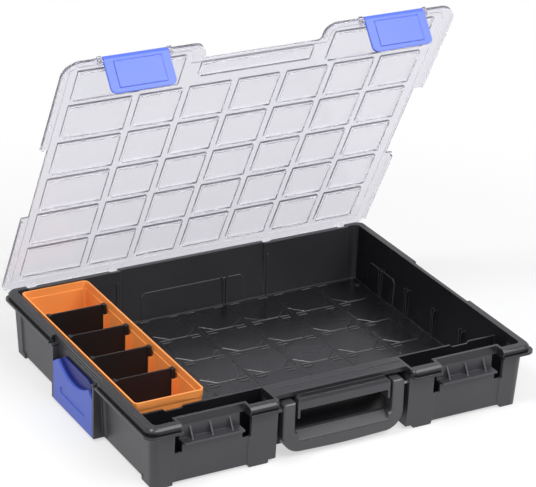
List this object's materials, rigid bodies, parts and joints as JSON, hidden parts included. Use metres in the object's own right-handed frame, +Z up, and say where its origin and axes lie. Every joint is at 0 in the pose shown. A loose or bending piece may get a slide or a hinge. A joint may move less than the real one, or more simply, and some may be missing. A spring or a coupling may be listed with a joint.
{
  "type": "assortment case",
  "caption": "Flat carry case with a clear hinged waffle lid, snap latches, drop handle, sliding side clips and a lift-out divided tray.",
  "frame": {"origin": "centre of the open case's outline at the underside of the feet", "axes": "+X along the case's width, to the right of someone facing its front; -Y out of the front with the handle; +Z up"},
  "size_m": [0.4294, 0.347, 0.3689],
  "materials": {
    "tub_black": "satin moulded polypropylene",
    "lid_clear": "clear moulded polycarbonate",
    "latch_blue": "semi-gloss moulded plastic",
    "clip_blue": "satin moulded plastic",
    "tray_orange": "satin moulded plastic",
    "divider_black": "matte moulded plastic",
    "pin_steel": "drawn steel wire"
  },
  "bodies": {
    "case": {"base_tub": "tub_black", "hinge_pin_left": "pin_steel", "hinge_pin_right": "pin_steel", "handle_pin_left": "pin_steel", "handle_pin_right": "pin_steel"},
    "lid_body": {"lid": "lid_clear", "latch_pin_left": "pin_steel", "latch_pin_right": "pin_steel"},
    "latch_left_body": {"latch_left": "latch_blue"},
    "latch_right_body": {"latch_right": "latch_blue"},
    "handle_body": {"carry_handle": "tub_black"},
    "clip_left_body": {"side_clip_left": "clip_blue"},
    "clip_right_body": {"side_clip_right": "clip_blue"},
    "tray_body": {"tray": "tray_orange"},
    "divider_1_body": {"divider_1": "divider_black"},
    "divider_2_body": {"divider_2": "divider_black"},
    "divider_3_body": {"divider_3": "divider_black"},
    "divider_4_body": {"divider_4": "divider_black"}
  },
  "joints": [
    {"name": "lid_hinge", "type": "hinge", "parent": "case", "child": "lid_body", "pos_m": [0, 0.16514, 0.0623], "axis": [-1, 0, 0], "range_deg": [-61.8, 43]},
    {"name": "latch_left_swing", "type": "hinge", "parent": "lid_body", "child": "latch_left_body", "pos_m": [-0.1415, 0.0108, 0.36432], "axis": [-1, 0, 0], "range_deg": [-18, 24.72]},
    {"name": "latch_right_swing", "type": "hinge", "parent": "lid_body", "child": "latch_right_body", "pos_m": [0.1415, 0.0108, 0.36432], "axis": [-1, 0, 0], "range_deg": [-18, 24.72]},
    {"name": "handle_swing", "type": "hinge", "parent": "case", "child": "handle_body", "pos_m": [0, -0.15946, 0.0525], "axis": [-1, 0, 0], "range_deg": [0, 95]},
    {"name": "clip_left_slide", "type": "slide", "parent": "case", "child": "clip_left_body", "axis": [0, 0, 1], "range_m": [0, 0.018]},
    {"name": "clip_right_slide", "type": "slide", "parent": "case", "child": "clip_right_body", "axis": [0, 0, 1], "range_m": [0, 0.018]},
    {"name": "tray_lift", "type": "slide", "parent": "case", "child": "tray_body", "axis": [0, 0, 1], "range_m": [0, 0.02]},
    {"name": "divider_1_lift", "type": "slide", "parent": "tray_body", "child": "divider_1_body", "axis": [0, 0, 1], "range_m": [0, 0.062]},
    {"name": "divider_2_lift", "type": "slide", "parent": "tray_body", "child": "divider_2_body", "axis": [0, 0, 1], "range_m": [0, 0.062]},
    {"name": "divider_3_lift", "type": "slide", "parent": "tray_body", "child": "divider_3_body", "axis": [0, 0, 1], "range_m": [0, 0.062]},
    {"name": "divider_4_lift", "type": "slide", "parent": "tray_body", "child": "divider_4_body", "axis": [0, 0, 1], "range_m": [0, 0.062]}
  ],
  "couplings": [
    {"joint": "latch_left_swing", "follows": "lid_hinge", "ratio": -0.4},
    {"joint": "latch_right_swing", "follows": "lid_hinge", "ratio": -0.4}
  ]
}
